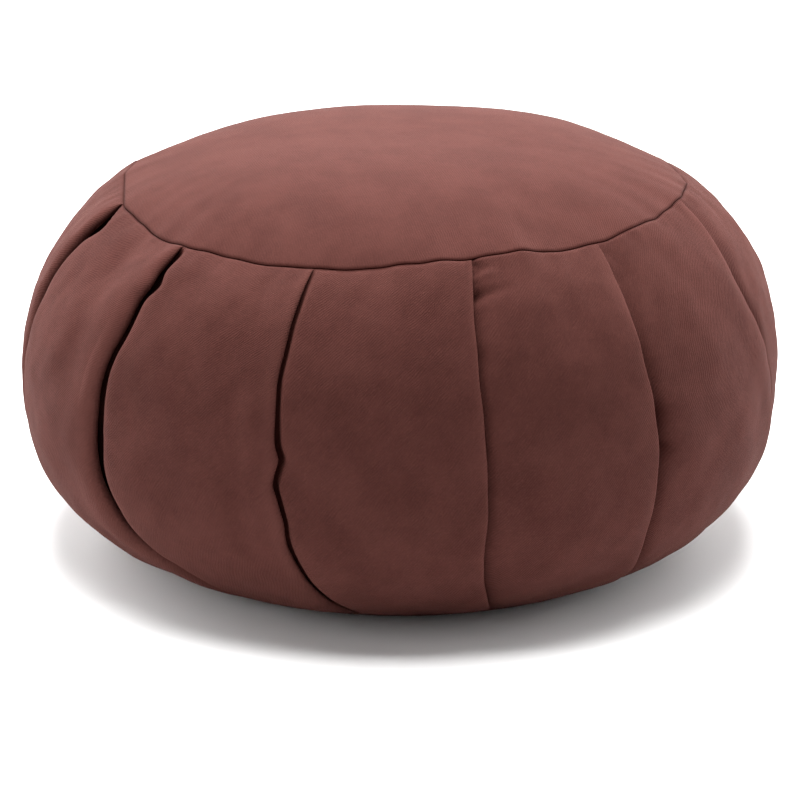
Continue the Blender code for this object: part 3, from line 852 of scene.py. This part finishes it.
class Socket:
    """A shader socket with arithmetic. Values make Math nodes, and vectors and colours Vector Math ones."""

    def __init__(self, tree, socket):
        self.tree, self.socket = tree, socket

    @classmethod
    def node(cls, tree, kind, settings=None, inputs=None, output=0):
        """Any node: its settings are set first, then its sockets get values or links."""
        made = tree.nodes.new(kind)
        for name, value in (settings or {}).items():
            setattr(made, name, value)
        for name, value in (inputs or {}).items():
            if isinstance(value, Socket):
                tree.links.new(value.socket, made.inputs[name])
            else:
                made.inputs[name].default_value = value
        return cls(tree, made.outputs[output])

    def _math(self, operation, *values):
        vector = any(isinstance(v, Socket) and v.socket.type in ("VECTOR", "RGBA") for v in values)
        kind = "ShaderNodeVectorMath" if vector else "ShaderNodeMath"
        if vector:
            values = [(v, v, v) if isinstance(v, (int, float)) else v for v in values]
        return self.node(self.tree, kind, {"operation": operation}, dict(enumerate(values)))

    def __add__(self, other):
        return self._math("ADD", self, other)

    def __radd__(self, other):
        return self._math("ADD", other, self)

    def __sub__(self, other):
        return self._math("SUBTRACT", self, other)

    def __rsub__(self, other):
        return self._math("SUBTRACT", other, self)

    def __mul__(self, other):
        return self._math("MULTIPLY", self, other)

    def __rmul__(self, other):
        return self._math("MULTIPLY", other, self)

    def __truediv__(self, other):
        return self._math("DIVIDE", self, other)

    def __rtruediv__(self, other):
        return self._math("DIVIDE", other, self)

    def cosine(self):
        return self._math("COSINE", self)

    def floor(self):
        return self._math("FLOOR", self)

    def between(self, low, high, to_low=0.0, to_high=1.0):
        """The value carried from one range to another, and held at its ends."""
        inputs = {"Value": self, "From Min": low, "From Max": high, "To Min": to_low, "To Max": to_high}
        return self.node(self.tree, "ShaderNodeMapRange", {"clamp": True}, inputs)

    def towards(self, other, share):
        """A colour mixed towards another colour by a share."""
        inputs = {0: share, 6: self, 7: other}
        return self.node(self.tree, "ShaderNodeMix", {"data_type": "RGBA"}, inputs, output=2)


def noise(at, grain):
    """A flat noise over the cloth."""
    inputs = {"Vector": at, "Scale": grain.scale, "Detail": grain.detail, "Roughness": grain.roughness}
    return Socket.node(at.tree, "ShaderNodeTexNoise", {"noise_dimensions": "2D"}, inputs)


def mark(tree, name):
    """One of the piece's own marks, from 0 to 1."""
    settings = {"attribute_type": "GEOMETRY", "attribute_name": name}
    return Socket.node(tree, "ShaderNodeAttribute", settings, output="Fac")


def brushed_twill(name, twill):
    """Matte brushed cotton twill on the piece's own cloth coordinates, taken from metres to millimetres.

    A rib's height is a cosine across the ribs, which sway a little. A second cosine along them, shifted by
    a third from rib to rib, cuts it into short floats, under a fine nap and lint. The colour goes from
    shadow between the ribs to paler lint on them, with mottle and slow clouds, painted shade inside a tuck
    and in the seams, and a painted highlight along a fold edge.
    """
    rib_angle = np.radians(twill.angle)
    material = bpy.data.materials.new(name)
    material.use_nodes = True
    tree = material.node_tree
    shader = tree.nodes["Principled BSDF"]
    cloth = Socket.node(tree, "ShaderNodeUVMap", {"uv_map": "cloth"}) * (1 / MM, 1 / MM, 1 / MM)
    sway = noise(cloth, SWAY)
    x, y = (
        Socket.node(tree, "ShaderNodeSeparateXYZ", inputs={"Vector": cloth}, output=axis) for axis in "XY"
    )
    across = (x * np.cos(rib_angle) + y * np.sin(rib_angle)) / RIB_PITCH + sway * RIB_SWAY
    along = (y * np.cos(rib_angle) - x * np.sin(rib_angle)) / (RIB_PITCH * FLOAT_LENGTH)
    rib = (across * (2 * np.pi)).cosine() * 0.5 + 0.5
    floats = ((along + across.floor() * FLOAT_SHIFT) * (2 * np.pi)).cosine() * 0.5 + 0.5
    nap, lint, clouds, mottle = (noise(cloth, grain) for grain in (NAP, LINT, CLOUDS, MOTTLE))
    patches = noise(cloth, PATCHES).between(*PATCH_RANGE, *PATCH_SHARES) * twill.relief
    height = rib * (floats * FLOAT_CUT + (1 - FLOAT_CUT)) + nap * NAP_HEIGHT + lint * LINT_HEIGHT
    painted_shade, edge = mark(tree, "painted_shade"), mark(tree, "edge")
    colour = Socket.node(tree, "ShaderNodeRGB")
    colour.socket.default_value = TWILL_RED_BROWN
    lit = rib * (floats * FLOAT_SHADE + (1 - FLOAT_SHADE))
    colour = colour.towards(TWILL_SHADOW, (1 - lit) * patches)
    colour = colour.towards(TWILL_FUZZ, lint.between(*LINT_RANGE) * (LINT_SHARE * twill.relief))
    colour = colour.towards(TWILL_SHADOW, mottle.between(*MOTTLE_RANGE) * (MOTTLE_SHARE * twill.relief))
    colour = colour.towards(TWILL_FUZZ, clouds.between(*PALE_CLOUD_RANGE) * CLOUD_SHARE)
    colour = colour.towards(TWILL_SHADOW, clouds.between(*DARK_CLOUD_RANGE) * CLOUD_SHARE)
    # Painted shade in tucks and seams.
    colour = colour.towards(TUCK_PAINTED_SHADE, painted_shade * PAINTED_SHADE_SHARE)
    # A painted highlight along fold edges.
    colour = colour.towards(TWILL_FUZZ, edge * PAINTED_HIGHLIGHT_SHARE)
    tree.links.new(colour.socket, shader.inputs["Base Color"])
    inputs = {"Height": height, "Strength": BUMP_STRENGTH, "Distance": BUMP_HEIGHT * twill.relief}
    weave = Socket.node(tree, "ShaderNodeBump", inputs=inputs)
    tree.links.new(weave.socket, shader.inputs["Normal"])
    tree.links.new((lint * LINT_ROUGHNESS + SMOOTHEST).socket, shader.inputs["Roughness"])
    shader.inputs["Sheen Weight"].default_value = SHEEN_WEIGHT
    shader.inputs["Sheen Roughness"].default_value = SHEEN_ROUGHNESS
    shader.inputs["Sheen Tint"].default_value = SHEEN_TINT
    shader.inputs["Specular IOR Level"].default_value = SPECULAR
    return material


def line_up(pieces):
    """Slides the cloth so that the middle of the pleated side is over the middle of its solid."""
    low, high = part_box("pleated_body")
    side = pieces[0].data
    points = np.empty(len(side.vertices) * 3, np.float32)
    side.vertices.foreach_get("co", points)
    points = points.reshape(-1, 3)
    middle = (points.min(0) + points.max(0)) / 2
    move = np.array([(low.x + high.x) / 2 - middle[0], (low.y + high.y) / 2 - middle[1], 0.0])
    for piece in pieces:
        points = np.empty(len(piece.data.vertices) * 3, np.float32)
        piece.data.vertices.foreach_get("co", points)
        piece.data.vertices.foreach_set("co", (points.reshape(-1, 3) + move).astype(np.float32).ravel())
        piece.data.update()


def make_cushion():
    """The three pieces with their cloth, each in the place of its solid. The round panels are sheets whose
    flat size is the disc of their seam."""
    side, top, bottom = side_piece(), top_panel_piece(), bottom_panel_piece()
    line_up([side, top, bottom])
    for piece, twill_name, twill, node, slot in (
        (side, "side_twill", SIDE_TWILL, "pleated_body", "side_cloth"),
        (top, "top_twill", TOP_TWILL, "top_panel", "top_cloth"),
        (bottom, "bottom_twill", BOTTOM_TWILL, "bottom_panel", "bottom_cloth"),
    ):
        piece.data.materials.append(brushed_twill(twill_name, twill))
        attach(piece, "root")
        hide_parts(node)


def aim(obj, place, target):
    """Puts a lamp or a camera at a place, looking at a target."""
    obj.location = place
    obj.rotation_euler = (Vector(target) - Vector(place)).to_track_quat("-Z", "Y").to_euler()
    bpy.context.scene.collection.objects.link(obj)


def soft_box():
    """A square lamp over the cushion."""
    light = bpy.data.lights.new("overhead", "AREA")
    light.size = SOFT_BOX_SIDE
    light.energy = SOFT_BOX_WATTS
    aim(bpy.data.objects.new("overhead", light), SOFT_BOX_PLACE, (0.0, 0.0, 0.0))


def far_light(name, direction, width, strength):
    """A wide soft light so far off that it lights the whole floor evenly."""
    light = bpy.data.lights.new(name, "SUN")
    light.angle = np.radians(width)
    light.energy = strength
    aim(bpy.data.objects.new(name, light), direction, (0.0, 0.0, 0.0))


def make_studio():
    """A white floor under a soft box, with wide lights behind, low ones at both sides and a faint one in
    front."""
    mesh = bpy.data.meshes.new("floor")
    corners = [(x * FLOOR_REACH, y * FLOOR_REACH, 0) for x, y in ((-1, -1), (1, -1), (1, 1), (-1, 1))]
    mesh.from_pydata(corners, [], [(0, 1, 2, 3)])
    floor = bpy.data.objects.new("floor", mesh)
    bpy.context.scene.collection.objects.link(floor)
    white = bpy.data.materials.new("floor_white")
    white.use_nodes = True
    paint = white.node_tree.nodes["Principled BSDF"]
    paint.inputs["Base Color"].default_value = FLOOR_WHITE
    paint.inputs["Roughness"].default_value = FLOOR_ROUGHNESS
    paint.inputs["Specular IOR Level"].default_value = FLOOR_SPECULAR
    mesh.materials.append(white)
    soft_box()
    for light in FAR_LIGHTS:
        far_light(*light)
    world = bpy.data.worlds.new("surround")
    world.use_nodes = True
    background = world.node_tree.nodes["Background"]
    background.inputs["Color"].default_value = (1.0, 1.0, 1.0, 1.0)
    background.inputs["Strength"].default_value = SURROUND_LIGHT
    bpy.context.scene.world = world
    settings = bpy.context.scene.view_settings
    settings.view_transform = "Standard"
    settings.look = "None"


def make_camera():
    """The photograph's view. The lens in millimetres is the focal length in pixels over the picture's side,
    times the sensor's width."""
    data = bpy.data.cameras.new("camera")
    data.sensor_width = SENSOR_WIDTH
    data.lens = FOCAL_PIXELS / PICTURE_SIDE * SENSOR_WIDTH
    camera = bpy.data.objects.new("camera", data)
    aim(camera, CAMERA_PLACE, CAMERA_AIM)
    bpy.context.scene.camera = camera


make_cushion()
make_studio()
make_camera()
bpy.context.view_layer.update()
